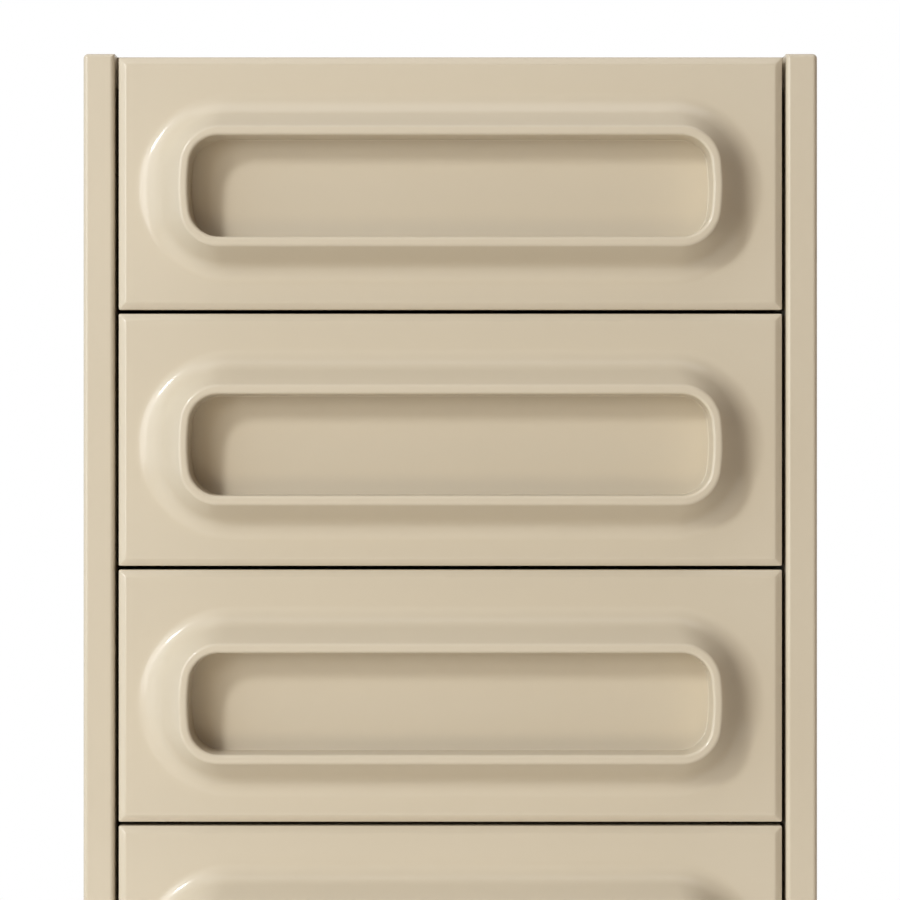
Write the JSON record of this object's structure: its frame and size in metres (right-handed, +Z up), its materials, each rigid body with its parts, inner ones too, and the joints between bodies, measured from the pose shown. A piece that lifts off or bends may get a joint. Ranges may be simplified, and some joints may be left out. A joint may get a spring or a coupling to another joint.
{
  "type": "chest of drawers",
  "caption": "Upright chest of drawers: lacquered side boards, a flush top, a plinth and moulded drawer fronts whose flared pulls ring deep finger recesses.",
  "frame": {"origin": "on the floor, under the middle of the overall outline, pulls included", "axes": "+Z up, -Y out of the drawer fronts, +X to the right seen from the front"},
  "size_m": [0.47, 0.425, 0.72],
  "materials": {
    "cream_lacquer": "cream lacquer, high gloss",
    "carcase_board": "raw board",
    "box_board": "clear satin lacquer",
    "hardboard": "smooth brown hardboard",
    "zinc_steel": "bright zinc plating",
    "glide_plastic": "brown nylon"
  },
  "bodies": {
    "cabinet": {"side_board_left": "cream_lacquer", "side_board_right": "cream_lacquer", "top_panel": "cream_lacquer", "bottom_panel": "carcase_board", "back_panel": "hardboard", "plinth_front": "cream_lacquer", "plinth_back": "carcase_board", "plinth_glue_blocks": "carcase_board", "floor_glides": "glide_plastic", "cabinet_runners_left": "zinc_steel", "cabinet_runners_right": "zinc_steel"},
    "drawer_1": {"drawer_1_front": "cream_lacquer", "drawer_1_inner_front": "box_board", "drawer_1_side_left": "box_board", "drawer_1_side_right": "box_board", "drawer_1_back": "box_board", "drawer_1_bottom": "hardboard", "drawer_1_runner_inner": "zinc_steel"},
    "runner_middle_1": {"drawer_1_runner_middle": "zinc_steel"},
    "drawer_2": {"drawer_2_front": "cream_lacquer", "drawer_2_inner_front": "box_board", "drawer_2_side_left": "box_board", "drawer_2_side_right": "box_board", "drawer_2_back": "box_board", "drawer_2_bottom": "hardboard", "drawer_2_runner_inner": "zinc_steel"},
    "runner_middle_2": {"drawer_2_runner_middle": "zinc_steel"},
    "drawer_3": {"drawer_3_front": "cream_lacquer", "drawer_3_inner_front": "box_board", "drawer_3_side_left": "box_board", "drawer_3_side_right": "box_board", "drawer_3_back": "box_board", "drawer_3_bottom": "hardboard", "drawer_3_runner_inner": "zinc_steel"},
    "runner_middle_3": {"drawer_3_runner_middle": "zinc_steel"},
    "drawer_4": {"drawer_4_front": "cream_lacquer", "drawer_4_inner_front": "box_board", "drawer_4_side_left": "box_board", "drawer_4_side_right": "box_board", "drawer_4_back": "box_board", "drawer_4_bottom": "hardboard", "drawer_4_runner_inner": "zinc_steel"},
    "runner_middle_4": {"drawer_4_runner_middle": "zinc_steel"}
  },
  "joints": [
    {"name": "drawer_1_slide", "type": "slide", "parent": "cabinet", "child": "drawer_1", "axis": [0, -1, 0], "range_m": [0, 0.35]},
    {"name": "runner_middle_1_slide", "type": "slide", "parent": "cabinet", "child": "runner_middle_1", "axis": [0, -1, 0], "range_m": [0, 0.175]},
    {"name": "drawer_2_slide", "type": "slide", "parent": "cabinet", "child": "drawer_2", "axis": [0, -1, 0], "range_m": [0, 0.35]},
    {"name": "runner_middle_2_slide", "type": "slide", "parent": "cabinet", "child": "runner_middle_2", "axis": [0, -1, 0], "range_m": [0, 0.175]},
    {"name": "drawer_3_slide", "type": "slide", "parent": "cabinet", "child": "drawer_3", "axis": [0, -1, 0], "range_m": [0, 0.35]},
    {"name": "runner_middle_3_slide", "type": "slide", "parent": "cabinet", "child": "runner_middle_3", "axis": [0, -1, 0], "range_m": [0, 0.175]},
    {"name": "drawer_4_slide", "type": "slide", "parent": "cabinet", "child": "drawer_4", "axis": [0, -1, 0], "range_m": [0, 0.35]},
    {"name": "runner_middle_4_slide", "type": "slide", "parent": "cabinet", "child": "runner_middle_4", "axis": [0, -1, 0], "range_m": [0, 0.175]}
  ],
  "couplings": [
    {"joint": "runner_middle_1_slide", "follows": "drawer_1_slide", "ratio": 0.5},
    {"joint": "runner_middle_2_slide", "follows": "drawer_2_slide", "ratio": 0.5},
    {"joint": "runner_middle_3_slide", "follows": "drawer_3_slide", "ratio": 0.5},
    {"joint": "runner_middle_4_slide", "follows": "drawer_4_slide", "ratio": 0.5}
  ]
}
